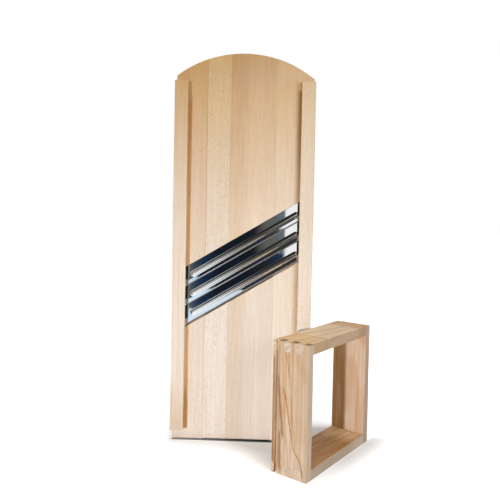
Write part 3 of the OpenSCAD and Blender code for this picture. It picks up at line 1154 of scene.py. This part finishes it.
@dataclass
class Blades:
    """The three stamped blades with a bead, a ground edge and ends bent down."""

    angle: float = math.radians(BLADE_ANGLE)
    tilt: float = math.radians(BLADE_TILT)
    thickness: float = 1.0 * MM
    width: float = 28.1 * MM / math.cos(math.radians(BLADE_TILT))
    face_y: float = -10.3 * MM
    edge_heights: tuple[float, ...] = (237.0 * MM, 268.149 * MM, 299.298 * MM)
    end_x: float = 93.1 * MM
    bend_radius: float = 8.4 * MM
    tab_depth: float = 10.0 * MM
    tab_inset: float = 3.0 * MM
    tab_from: float = 0.5
    ground_w: float = 1.5 * MM
    ground_reach: float = 1.1
    turned_w: float = 0.4 * MM
    tip_t: float = 0.1 * MM
    bead_from_edge: float = 11.0 * MM
    bead_radius: float = 5.6 * MM
    bead_rise: float = 1.75 * MM
    bead_half: float = 93.5 * MM
    bead_shift: float = 4.0 * MM
    bead_blend: float = 0.7 * MM
    droop_from: float = 6.4 * MM
    droop: float = math.radians(3.0)
    length_cuts: int = 179
    width_cuts: int = 49
    smooth_angle: float = 62.0
    sheet: SteelFinish = SteelFinish("rolled_steel", (0.86, 0.88, 0.90), (0.76, 0.78, 0.81), 0.02, 0.04,
                                     turn=BLADE_ANGLE, bump_height=0.000006, end_shade_from=0.0852)
    ground: SteelFinish = SteelFinish("ground_edge_steel", (0.62, 0.63, 0.66), (0.46, 0.46, 0.48), 0.40, 0.55,
                                      turn=BLADE_ANGLE, line_scale=(1600.0, 900.0, 60.0), end_shade_from=0.0852)

    def half_length(self) -> float:
        """Half of a blade's length before its ends are bent."""
        flat = self.end_x - self.bend_radius
        return flat + self.bend_radius * math.pi / 2 + self.tab_depth - self.bend_radius

    def bead_height(self, along: float, up: float) -> float:
        """Height of the stamped bead at a place on the sheet.

        Args:
            along: place along the blade.
            up: place up from the cutting edge.

        Returns:
            The height, blended softly into the flat sheet.
        """
        from_middle = along - self.bead_from_edge * math.tan(self.angle) - self.bead_shift
        off = math.hypot(max(abs(from_middle) - self.bead_half, 0.0), up - self.bead_from_edge)
        low = self.bead_radius - self.bead_rise
        foot = math.sqrt(self.bead_radius ** 2 - low ** 2)
        height = math.sqrt(self.bead_radius ** 2 - off ** 2) - low if off < foot else (foot - off) * foot / low
        blend = max(1.0 - abs(height) / self.bead_blend, 0.0)
        return max(height, 0.0) + self.bead_blend / 4 * blend ** 2

    def formed(self, run: float, depth: float, up: float) -> Vector:
        """Where a point of the flat sheet goes when the blade is stamped and bent.

        Args:
            run: place across the board on the flat sheet.
            depth: depth below the sheet's front face.
            up: place up from the cutting edge.

        Returns:
            The point in the blade's own axes: along it, into the board and up from its edge.
        """
        side = math.copysign(1.0, run)
        flat = self.end_x - self.bend_radius
        past = max(abs(run) - flat, 0.0)
        turn = min(past / self.bend_radius, math.pi / 2)
        straight = max(past - self.bend_radius * math.pi / 2, 0.0)
        narrow = min(max(turn - self.tab_from, 0.0) / self.tab_from, 1.0)
        ground = (self.thickness - self.tip_t) * max(1.0 - up / self.ground_w, 0.0)
        layer = self.thickness if depth > self.thickness / 2 else ground
        low, high = narrow * self.tab_inset, self.width - narrow * self.tab_inset
        up = low + (high - low) * up / self.width
        across = min(abs(run), flat) + (self.bend_radius - layer) * math.sin(turn)
        sunk = self.bend_radius * (1 - math.cos(turn)) + straight + layer * math.cos(turn)
        sunk += math.tan(self.droop) * max(self.droop_from - up, 0.0)
        rise = up * math.cos(self.tilt)
        along = (side * across + rise * math.sin(self.angle)) / math.cos(self.angle)
        return Vector((along, sunk - self.bead_height(along, up), up))

    def row_height(self, row: int) -> float:
        """Height of a row of points on the flat sheet: two narrow rows at the ground edge, then even ones.

        Args:
            row: the row's number from the cutting edge.

        Returns:
            Its distance from the cutting edge.
        """
        first = (0.0, self.ground_w, self.ground_w + self.turned_w)
        if row < len(first):
            return first[row]
        last = len(first) - 1
        return first[last] + (self.width - first[last]) * (row - last) / (self.width_cuts + 1 - last)

    def build_blade(self, name: str, edge_height: float) -> None:
        """Builds and dresses one blade, from a unit cube that is cut into rows.

        Args:
            name: the CAD node that it stands for.
            edge_height: height of its cutting edge at the board's middle.
        """
        bm = bmesh.new()
        bmesh.ops.create_cube(bm, size=1.0)
        for axis, cuts in ((0, self.length_cuts), (2, self.width_cuts)):
            edges = [edge for edge in bm.edges
                     if abs(edge.verts[0].co[axis] - edge.verts[1].co[axis]) > 0.5]
            bmesh.ops.subdivide_edges(bm, edges=edges, cuts=cuts, use_grid_fill=True)
        for vert in bm.verts:
            up = self.row_height(round((vert.co.z + 0.5) * (self.width_cuts + 1)))
            vert.co = self.formed(2 * vert.co.x * self.half_length(), (vert.co.y + 0.5) * self.thickness, up)
        place = (Matrix.Translation((0, self.face_y, edge_height)) @ Matrix.Rotation(-self.angle, 4, "Y")
                 @ Matrix.Rotation(-self.tilt, 4, "X"))
        top = self.ground_w * self.ground_reach
        ground = [face for face in bm.faces if max(vert.co.z for vert in face.verts) < top]
        bmesh.ops.transform(bm, matrix=place, verts=bm.verts[:])
        bmesh.ops.recalc_face_normals(bm, faces=bm.faces[:])
        for face in ground:
            face.material_index = 1
        finish_piece(bm, f"stamped_{name}", self.materials(), "board", (name,), self.smooth_angle)

    def materials(self) -> tuple[Material, ...]:
        """The sheet's and the ground edge's materials, made once for all blades."""
        return tuple(bpy.data.materials.get(finish.name) or finish.material() for finish in (self.sheet, self.ground))

    def build(self) -> None:
        """Builds and dresses the blades from the lowest to the highest."""
        for name, height in zip(("lower_blade", "middle_blade", "upper_blade"), self.edge_heights):
            self.build_blade(name, height)


@dataclass
class Screws:
    """The screws of the rails and blades, with cross recesses in their heads."""

    sunk_r: float = 3.4 * MM
    sunk_shank_r: float = 1.7 * MM
    sunk_l: float = 26.0 * MM
    sunk_tip: float = 3 * MM
    sunk_rim: Span = (0.15 * MM, 0.12 * MM)
    sunk_twist: Span = (0.5, 9)
    round_r: float = 2.6 * MM
    round_h: float = 1.5 * MM
    round_shank_r: float = 1.4 * MM
    round_l: float = 9.0 * MM
    round_tip: float = 1.5 * MM
    round_twist: Span = (0.3, 11)
    dome_steps: int = 7
    dome_share: Span = (0.35, 0.65)
    recess_w: float = 0.75 * MM
    recess_t: float = 0.8 * MM
    segments: int = 40
    fine_merge: float = 1e-7
    smooth_angle: float = 30.0
    finish: SteelFinish = SteelFinish("zinc_steel", (0.60, 0.60, 0.57), (0.42, 0.41, 0.38), 0.24, 0.42,
                                      line_scale=(500.0, 500.0, 500.0), bump_height=0.00004)

    def lathe(self, outline: Sequence[Span]) -> BMesh:
        """Turns an outline about Z.

        Args:
            outline: radius and height of its points, from the head's top to the tip.

        Returns:
            The closed shape.
        """
        bm = bmesh.new()
        verts = [bm.verts.new((radius, 0, height)) for radius, height in outline]
        edges = [bm.edges.new(pair) for pair in zip(verts, verts[1:])]
        bmesh.ops.spin(bm, geom=verts + edges, cent=(0, 0, 0), axis=(0, 0, 1), angle=math.tau,
                       steps=self.segments, use_merge=True)
        bmesh.ops.remove_doubles(bm, verts=bm.verts[:], dist=self.fine_merge)
        bmesh.ops.recalc_face_normals(bm, faces=bm.faces[:])
        return bm

    def recessed(self, bm: BMesh, floor: float) -> BMesh:
        """Cuts a cross recess into a head: its top stays in four quarters on the rest.

        Args:
            bm: the turned screw, which is freed here.
            floor: height of the recess's floor.

        Returns:
            The screw with its recess.
        """
        whole = meshed(bm, "turned_screw")
        result = bmesh.new()
        reach = self.recess_w / 2
        level = (0, 0, floor)
        cuts: list[list[tuple[Point, Point]]] = [[(level, (0, 0, 1))]]
        for x in (-1, 1):
            for y in (-1, 1):
                cuts.append([(level, (0, 0, -1)), ((x * reach, 0, 0), (-x, 0, 0)), ((0, y * reach, 0), (0, -y, 0))])
        for planes in cuts:
            piece = bmesh.new()
            piece.from_mesh(whole)
            for point, normal in planes:
                cut = bmesh.ops.bisect_plane(piece, geom=piece.verts[:] + piece.edges[:] + piece.faces[:],
                                             dist=self.fine_merge, plane_co=point, plane_no=normal, clear_outer=True)
                rim = [item for item in cut["geom_cut"] if isinstance(item, BMEdge)]
                bmesh.ops.contextual_create(piece, geom=rim)
            bmesh.ops.recalc_face_normals(piece, faces=piece.faces[:])
            pour(piece, result)
        bpy.data.meshes.remove(whole)
        return result

    def sunk_screw(self) -> BMesh:
        """A flat-headed screw along Z, with its head's top at 0 and its tip at the far end.

        Returns:
            The screw.
        """
        neck = self.sunk_r - self.sunk_shank_r
        inset, drop = self.sunk_rim
        outline = [(0, 0), (self.sunk_r - inset, 0), (self.sunk_r, -drop), (self.sunk_shank_r, -neck),
                   (self.sunk_shank_r, -self.sunk_l + self.sunk_tip), (0, -self.sunk_l)]
        return self.recessed(self.lathe(outline), -self.recess_t)

    def round_screw(self) -> BMesh:
        """A round-headed screw along Z, with its head's foot at 0 and its tip at the far end.

        Returns:
            The screw.
        """
        wall, dome = self.dome_share
        turns = [math.pi / 2 * step / self.dome_steps for step in range(self.dome_steps + 1)]
        outline = [(self.round_r * math.sin(turn), self.round_h * (wall + dome * math.cos(turn))) for turn in turns]
        outline += [(self.round_r, 0), (self.round_shank_r, 0),
                    (self.round_shank_r, -self.round_l + self.round_tip), (0, -self.round_l)]
        return self.recessed(self.lathe(outline), self.round_h - self.recess_t)

    def gather(self, name: str, screw: Callable[[], BMesh], places: Iterable[Matrix], node: str,
               material: Material) -> None:
        """Builds one group of screws as a piece.

        Args:
            name: the piece's name.
            screw: makes one screw.
            places: where each goes.
            node: the CAD node that they stand for.
            material: their material.
        """
        result = bmesh.new()
        for place in places:
            bm = screw()
            bmesh.ops.transform(bm, matrix=place, verts=bm.verts[:])
            pour(bm, result)
        finish_piece(result, name, (material,), "board", (node,), self.smooth_angle)

    def centres(self, node: str) -> list[Vector]:
        """Middles of the separate screws in a CAD node.

        Args:
            node: the node's name.

        Returns:
            One point for each screw.
        """
        bm = merged_copy(node)
        left = set(bm.verts)
        found = []
        while left:
            shell, front = set(), [left.pop()]
            while front:
                vert = front.pop()
                shell.add(vert)
                near = [edge.other_vert(vert) for edge in vert.link_edges]
                front += [other for other in near if other in left]
                left.difference_update(near)
            low = Vector(min(vert.co[axis] for vert in shell) for axis in range(3))
            high = Vector(max(vert.co[axis] for vert in shell) for axis in range(3))
            found.append((low + high) / 2)
        bm.free()
        return sorted(found, key=lambda point: (point.x, point.z))

    def placed(self, seat: Vector, turn: float, axis: str, twist: Span) -> Matrix:
        """Where a screw goes: its seat, the turn that lays it down, and a twist that grows up the board."""
        first, more = twist
        return (Matrix.Translation(seat) @ Matrix.Rotation(turn, 4, axis)
                @ Matrix.Rotation(first + seat.z * more, 4, "Z"))

    def build(self) -> None:
        """Builds and dresses every group of screws."""
        material = self.finish.material()
        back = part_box("left_edge_stave")[1].y
        for node in ("left_rail_screws", "right_rail_screws"):
            spots = [self.placed(Vector((point.x, back, point.z)), -math.pi / 2, "X", self.sunk_twist)
                     for point in self.centres(node)]
            self.gather(f"recessed_{node}", self.sunk_screw, spots, node, material)
        for node in ("lower_blade_screws", "middle_blade_screws", "upper_blade_screws"):
            spots = []
            for point in self.centres(node):
                side = math.copysign(1.0, point.x)
                seat = Vector((side * (Blades.end_x - Blades.thickness), point.y, point.z))
                spots.append(self.placed(seat, -side * math.pi / 2, "Y", self.round_twist))
            self.gather(f"domed_{node}", self.round_screw, spots, node, material)


NAVY = (0.011, 0.030, 0.070)
INK = (0.008, 0.012, 0.021)
BLACK = (0.008, 0.008, 0.009)
GREY = (0.12, 0.125, 0.115)
BROWN_DARK = (0.085, 0.075, 0.06)
SLATE = (0.12, 0.15, 0.18)
DIM = (0.034, 0.035, 0.037)
WHITE = (1.05, 1.03, 0.99)
CREAM = (0.74, 0.73, 0.70)
ICE = (0.85, 0.95, 1.05)
BLADE_LEAN = math.radians(33.5)


@dataclass(frozen=True)
class Card:
    """A flat card around the object that only the steel sees: its middle, size, tones along it and lean."""

    name: str
    middle: Point
    size: Span
    tones: tuple[tuple[float, Colour], ...]
    lean: float = 0.0
    lying: bool = False

    def axis(self) -> Vector:
        """Direction along the card, from its left to its right."""
        return Vector((math.cos(self.lean), 0.0, math.sin(self.lean)))

    def shaded(self, sheet: NodeSheet) -> NodeSocket:
        """The card's tones from left to right.

        Args:
            sheet: the material's sheet.

        Returns:
            The colour.
        """
        left, width = Vector(self.middle).dot(self.axis()) - self.size[0] / 2, self.size[0]
        across = sheet.made("ShaderNodeVectorMath", {0: sheet.spot(), 1: self.axis()}, "Value", operation="DOT_PRODUCT")
        ramp = sheet.add("ShaderNodeValToRGB")
        elements = ramp.color_ramp.elements
        while len(elements) < len(self.tones):
            elements.new(1.0)
        for element, (place, tone) in zip(elements, self.tones):
            element.position = (place - left) / width
            element.color = (*tone, 1.0)
        sheet.put(ramp.inputs[0], sheet.ranged(across, left, left + width, smooth=False))
        return ramp.outputs[0]

    def build(self) -> None:
        """Stands the card up where only the steel's reflections see it."""
        bm = bmesh.new()
        bmesh.ops.create_grid(bm, x_segments=1, y_segments=1, size=0.5)
        upright = Matrix.Rotation(0.0 if self.lying else math.pi / 2, 4, "X")
        place = (Matrix.Translation(self.middle) @ Matrix.Rotation(-self.lean, 4, "Y") @ upright
                 @ Matrix.Diagonal((*self.size, 1.0, 1.0)))
        bmesh.ops.transform(bm, matrix=place, verts=bm.verts[:])
        material, sheet = bare_material(self.name)
        sheet.show(sheet.made("ShaderNodeEmission", {"Color": self.shaded(sheet)}))
        card = stand(self.name, meshed(bm, self.name, (material,)))
        card.visible_camera = False
        card.visible_diffuse = False
        card.visible_shadow = False
        card.visible_transmission = False


@dataclass(frozen=True)
class Lamp:
    """A square lamp that the steel doesn't mirror: its place, side, power in watts and the point that it faces."""

    name: str
    place: Point
    size: float
    power: float
    aim: Point

    def build(self) -> None:
        """Hangs the lamp."""
        lamp = bpy.data.lights.new(self.name, "AREA")
        lamp.size = self.size
        lamp.energy = self.power
        holder = stand(self.name, lamp)
        holder.location = self.place
        holder.rotation_euler = (Vector(self.aim) - Vector(self.place)).to_track_quat("-Z", "Y").to_euler()
        holder.visible_glossy = False


@dataclass
class Studio:
    """Floor, world, lamps, cards and camera."""

    floor_half: float = 8.0
    floor_drop: float = 0.0002
    floor_white: float = 0.90
    floor_middle: Point = (0.08, -0.05, 0.0)
    lift: float = 0.58
    lift_away: Span = (0.20, 0.50)
    contact: Span = (0.0075, 0.0050)
    contact_share: Span = (0.7, 0.92)
    contact_end: float = 0.001
    board_print: tuple[Span, Span] = ((0.0, 0.0), (Board.half_width, -Board.front))
    board_shade: float = 0.065
    under_board: float = 1e-5
    fringe: Span = (-0.132, -0.104)
    shade_left: Span = (-0.11, 0.02)
    shade_share: Span = (0.55, 1.0)
    box_shade: Span = (0.19, 0.06)
    box_shade_left: Span = (-0.02, 0.03)
    box_shade_right: Span = (0.23, 0.17)
    box_shade_share: float = 0.85
    box_foot: float = 0.045
    box_foot_front: Span = (0.004, -0.004)
    box_foot_right: Span = (0.0, 0.12)
    box_foot_share: Span = (0.35, 1.0)
    sky: float = 0.05
    back_sky: float = 0.65
    back_power: float = 1.5
    camera_place: Point = (0.04077, -0.89801, 0.37100)
    camera_yaw: float = math.radians(-1.905)
    camera_pitch: float = math.radians(-1.665)
    camera_roll: float = math.radians(1.148)
    camera_near: float = 0.01
    focal_px: float = 560.95
    image_px: float = 500.0
    axis_up_px: float = 25.0
    sensor: float = 36.0
    lamps: tuple[Lamp, ...] = (
        Lamp("key_lamp", (-1.55, -3.9, 0.40), 0.15, 91.0, (0.0, 0.0, 0.25)),
        Lamp("fill_lamp", (1.27, -2.27, 1.02), 1.0, 14.0, (0.0, 0.0, 0.25)),
        Lamp("top_lamp", (0.1, -0.5, 2.2), 1.6, 21.0, (0.05, -0.05, 0.2)),
        Lamp("side_lamp", (2.2, -0.9, 0.30), 0.6, 4.5, (0.1, 0.0, 0.25)),
        Lamp("back_lamp", (-2.2, 2.2, 0.7), 0.8, 42.0, (0.0, 0.0, 0.3)),
    )
    cards: tuple[Card, ...] = (
        Card("dark_front_card", (-0.905, -2.0, 0.43), (1.59, 0.76), (
            (-1.70, SLATE), (-0.615, (0.12, 0.15, 0.19)), (-0.58, (0.045, 0.062, 0.09)), (-0.54, NAVY), (-0.46, INK),
            (-0.31, INK), (-0.20, (0.018, 0.019, 0.022)), (-0.14, NAVY), (-0.11, NAVY))),
        Card("grey_patch_card", (-0.185, -1.98, 0.665), (0.15, 0.27), (
            (-0.26, (0.025, 0.024, 0.022)), (-0.205, GREY), (-0.165, GREY), (-0.135, SLATE), (-0.11, SLATE))),
        Card("dark_right_card", (0.295, -2.0, 0.265), (0.81, 0.43), ((-0.11, DIM), (0.7, DIM))),
        Card("dark_low_card", (2.0, -2.02, -3.96), (8.0, 8.08), ((-2.0, NAVY), (6.0, BLACK))),
        Card("floor_card", (0.0, -0.85, -0.01), (6.0, 1.5), (
            (-3.0, WHITE), (-0.02, WHITE), (0.10, (0.42, 0.40, 0.36)), (0.20, (0.15, 0.14, 0.12)),
            (0.32, BROWN_DARK), (3.0, BROWN_DARK)), lying=True),
        Card("near_floor_card", (0.0, -0.035, -0.01), (6.0, 0.13), ((-3.0, BLACK), (3.0, BLACK)), lying=True),
        Card("back_floor_card", (0.0, 2.015, -0.01), (6.0, 3.97), (
            (-3.0, WHITE), (-0.30, WHITE), (-0.05, (0.62, 0.63, 0.65)), (0.14, (0.20, 0.21, 0.23)),
            (0.40, (0.55, 0.56, 0.58)), (0.75, WHITE), (3.0, WHITE)), lying=True),
        Card("white_high_card", (-1.9956, -1.96, 0.3790), (3.09, 1.365), (
            (-3.0, CREAM), (-0.27, CREAM), (-0.20, (0.64, 0.63, 0.59)), (-0.134, (0.47, 0.46, 0.42)),
            (-0.06, (0.33, 0.31, 0.27)), (0.013, (0.18, 0.17, 0.14)), (0.09, (0.12, 0.11, 0.09))), BLADE_LEAN),
        Card("dark_high_card", (-2.7586, -1.96, 1.5319), (3.09, 1.40), (
            (-3.0, (0.06, 0.075, 0.10)), (-0.27, (0.05, 0.06, 0.08)), (-0.134, INK), (0.09, BLACK)), BLADE_LEAN),
        Card("grey_high_card", (0.221, -1.96, 2.546), (3.0, 2.5), (
            (0.09, BROWN_DARK), (3.09, BROWN_DARK)), BLADE_LEAN),
        Card("overhead_card", (-1.0, 0.515, 2.5), (10.0, 4.97), (
            (-6.0, (0.10, 0.11, 0.13)), (-1.75, (0.06, 0.065, 0.075)), (-1.50, BLACK), (4.0, BLACK)), lying=True),
        Card("blue_low_card", (-0.675, -1.9, 0.0325), (0.95, 0.265), ((-1.15, ICE), (-0.20, (0.70, 0.86, 1.0)))),
        Card("blue_left_card", (-0.79, -1.9, 0.20), (0.72, 0.07), ((-1.15, ICE), (-0.43, (0.60, 0.78, 0.95)))),
    )

    def build_floor(self) -> None:
        """Lays a white floor that keeps the object's shadow; the steel sees the lying cards in its place."""
        bm = bmesh.new()
        bmesh.ops.create_grid(bm, x_segments=1, y_segments=1, size=self.floor_half)
        bmesh.ops.translate(bm, vec=(0, 0, -self.floor_drop), verts=bm.verts[:])
        floor = stand("floor", meshed(bm, "floor", (self.floor_paper(),)))
        floor.visible_glossy = False

    def floor_paper(self) -> Material:
        """White paper with a painted contact shadow before the board's foot and a glow that paints light on it, held
        back where shade is painted and growing into the white background away from the object.

        Returns:
            The material.
        """
        material, sheet = bare_material("floor_paper")
        place = sheet.spot()
        across, depth, _ = sheet.split(place)
        # Painted shadow: a dark line on the floor just before the board's foot.
        painted_contact_shadow = sheet.times(
            sheet.ranged(sheet.math("SUBTRACT", Board.front, depth), *self.contact),
            sheet.ranged(across, *self.shade_left, *self.contact_share, smooth=False),
            sheet.ranged(sheet.math("ABSOLUTE", across), Board.half_width, Board.half_width - self.contact_end),
            sheet.math("LESS_THAN", depth, 0.0))
        paper = sheet.made("ShaderNodeBsdfPrincipled", {
            "Base Color": sheet.mix(painted_contact_shadow, (self.floor_white,) * 3, (0.0, 0.0, 0.0)), "Roughness": 1.0,
            "Specular IOR Level": 0.0})
        # The glow paints light on the floor, except where shade is painted.
        near = sheet.times(sheet.math("SUBTRACT", 1.0, self.shaded(sheet, place)),
                           sheet.math("SUBTRACT", 1.0, painted_contact_shadow), self.lift)
        away = sheet.made("ShaderNodeVectorMath", {0: place, 1: self.floor_middle}, "Value", operation="DISTANCE")
        lift = sheet.math("MAXIMUM", near, sheet.ranged(away, *self.lift_away))
        path = sheet.add("ShaderNodeLightPath")
        seen = sheet.math("MAXIMUM", path.outputs["Is Camera Ray"], path.outputs["Is Glossy Ray"])
        glow = sheet.made("ShaderNodeEmission", {"Strength": sheet.times(seen, lift)})
        sheet.show(sheet.made("ShaderNodeAddShader", {0: paper, 1: glow}))
        return material

    def outside(self, sheet: NodeSheet, place: NodeSocket, middle: Span, half: Span) -> NodeSocket:
        """How far a place on the floor is from a rectangle that stands on it, 0 inside."""
        gaps = [sheet.math("SUBTRACT", sheet.apart(part, centre), reach)
                for part, centre, reach in zip(sheet.split(place), middle, half)]
        return sheet.math("MAXIMUM", sheet.math("MAXIMUM", *gaps), 0.0)

    def shaded(self, sheet: NodeSheet, place: NodeSocket) -> NodeSocket:
        """Where the floor stays as dark as the lamps leave it: under and before the board and around the box.

        Args:
            sheet: the material's sheet.
            place: Object coordinates.

        Returns:
            A mask, 1 in full shade.
        """
        out = self.outside(sheet, place, *self.board_print)
        across = sheet.split(place)[0]
        before = sheet.times(sheet.ranged(out, self.board_shade, 0.0),
                             sheet.ranged(across, *self.shade_left, *self.shade_share, smooth=False),
                             sheet.ranged(across, *self.fringe))
        own = BOX_PLACE.own_axes(sheet)
        along, deep, _ = sheet.split(own)
        behind = sheet.times(sheet.ranged(along, *self.box_shade_left), sheet.ranged(along, *self.box_shade_right),
                             sheet.ranged(deep, *self.box_shade, 0.0, self.box_shade_share),
                             sheet.math("GREATER_THAN", deep, BOX_PLACE.depth))
        beside = self.outside(sheet, own, *BOX_PLACE.footprint())
        foot = sheet.times(sheet.ranged(beside, self.box_foot, 0.0, 0.0, self.box_shade_share),
                           sheet.ranged(deep, *self.box_foot_front),
                           sheet.ranged(along, *self.box_foot_right, *self.box_foot_share))
        total = sheet.math("ADD", sheet.math("ADD", before, behind), foot)
        return sheet.math("ADD", total, sheet.math("LESS_THAN", out, self.under_board), clamp=True)

    def build_world(self) -> None:
        """Gives a white background and soft light, stronger from behind, where no lamp stands."""
        world = bpy.data.worlds.new("studio")
        world.use_nodes = True
        world.node_tree.nodes.clear()
        sheet = NodeSheet(world.node_tree)
        path = sheet.add("ShaderNodeLightPath")
        seen = sheet.math("MAXIMUM", path.outputs["Is Camera Ray"],
                          sheet.math("MAXIMUM", path.outputs["Is Glossy Ray"], path.outputs["Is Transmission Ray"]))
        ray = sheet.made("ShaderNodeTexCoord", {}, "Generated")
        facing = sheet.made("ShaderNodeVectorMath", {0: ray, 1: BOX_PLACE.along()}, "Value", operation="DOT_PRODUCT")
        behind = sheet.math("POWER", sheet.math("MAXIMUM", facing, 0.0), self.back_power)
        soft = sheet.math("ADD", sheet.times(behind, self.back_sky), self.sky)
        back = sheet.made("ShaderNodeBackground", {
            "Color": (1, 1, 1), "Strength": sheet.ranged(seen, 0.0, 1.0, soft, 1.0, smooth=False)})
        sheet.show(back, "ShaderNodeOutputWorld")
        bpy.context.scene.world = world

    def build_camera(self) -> None:
        """Sets the camera at the photograph's viewing angle."""
        yaw, pitch, roll = self.camera_yaw, self.camera_pitch, self.camera_roll
        ahead = Vector((math.sin(yaw) * math.cos(pitch), math.cos(yaw) * math.cos(pitch), math.sin(pitch)))
        right = Vector((math.cos(yaw), -math.sin(yaw), 0.0))
        up = right.cross(ahead)
        turned_right = right * math.cos(roll) + up * math.sin(roll)
        turned_up = up * math.cos(roll) - right * math.sin(roll)
        view = bpy.data.cameras.new("camera")
        view.sensor_width = self.sensor
        view.lens = self.sensor * self.focal_px / self.image_px
        view.shift_y = -self.axis_up_px / self.image_px
        view.clip_start = self.camera_near
        holder = stand("camera", view)
        axes = Matrix((turned_right, turned_up, -ahead)).transposed()
        holder.matrix_world = Matrix.Translation(self.camera_place) @ axes.to_4x4()
        bpy.context.scene.camera = holder

    def build(self) -> None:
        """Builds the whole studio."""
        self.build_camera()
        self.build_floor()
        self.build_world()
        for item in (*self.lamps, *self.cards):
            item.build()
        bpy.context.scene.view_settings.view_transform = "Standard"


def main() -> None:
    """Builds the classes in order."""
    Studio().build()
    for assembly in (Board(), Rails(), Blades(), Screws(), Box()):
        LOG.info("building %s", type(assembly).__name__)
        assembly.build()


if __name__ == "__main__":
    main()
